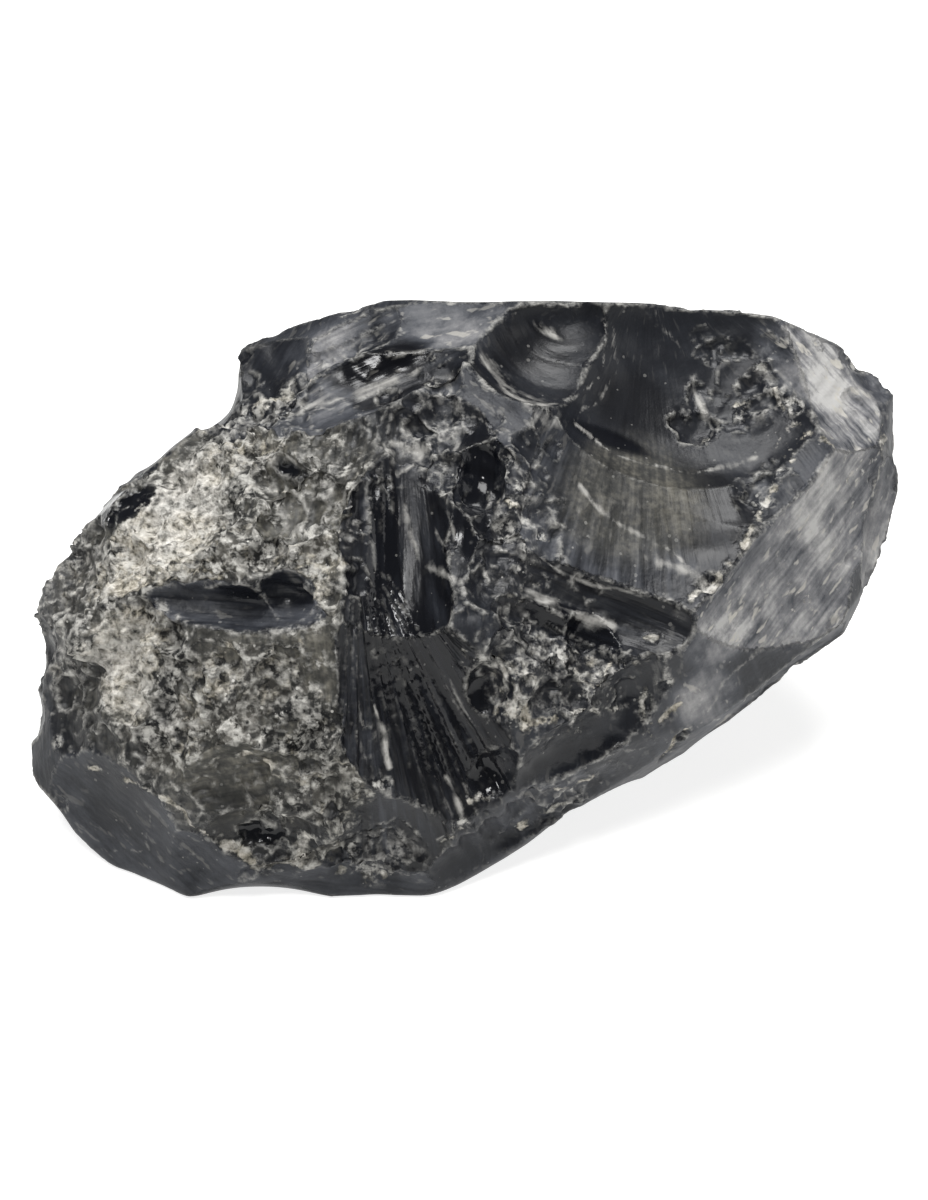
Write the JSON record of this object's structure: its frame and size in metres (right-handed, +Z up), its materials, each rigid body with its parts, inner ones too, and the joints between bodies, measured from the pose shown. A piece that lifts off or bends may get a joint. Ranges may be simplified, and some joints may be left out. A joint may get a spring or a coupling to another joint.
{
  "type": "obsidian chunk",
  "caption": "Heavy lump of knapped black volcanic glass with shell-shaped flake scars and a weathered rind, to rest on a shelf or table as a display stone.",
  "frame": {"origin": "middle of the bounding box, at the height of the flat the stone rests on", "axes": "+Z up; +X along the stone's longest side, to the viewer's right when the broad broken face is in front; -Y out of the broad broken face"},
  "size_m": [0.1534, 0.0988, 0.0841],
  "materials": {
    "obsidian_chunk": "black volcanic glass: glossy where it broke freshly, dull grey on the older breaks, granular beige-white rind on the left half"
  },
  "bodies": {
    "root": {"obsidian_chunk": "obsidian_chunk"}
  },
  "joints": []
}
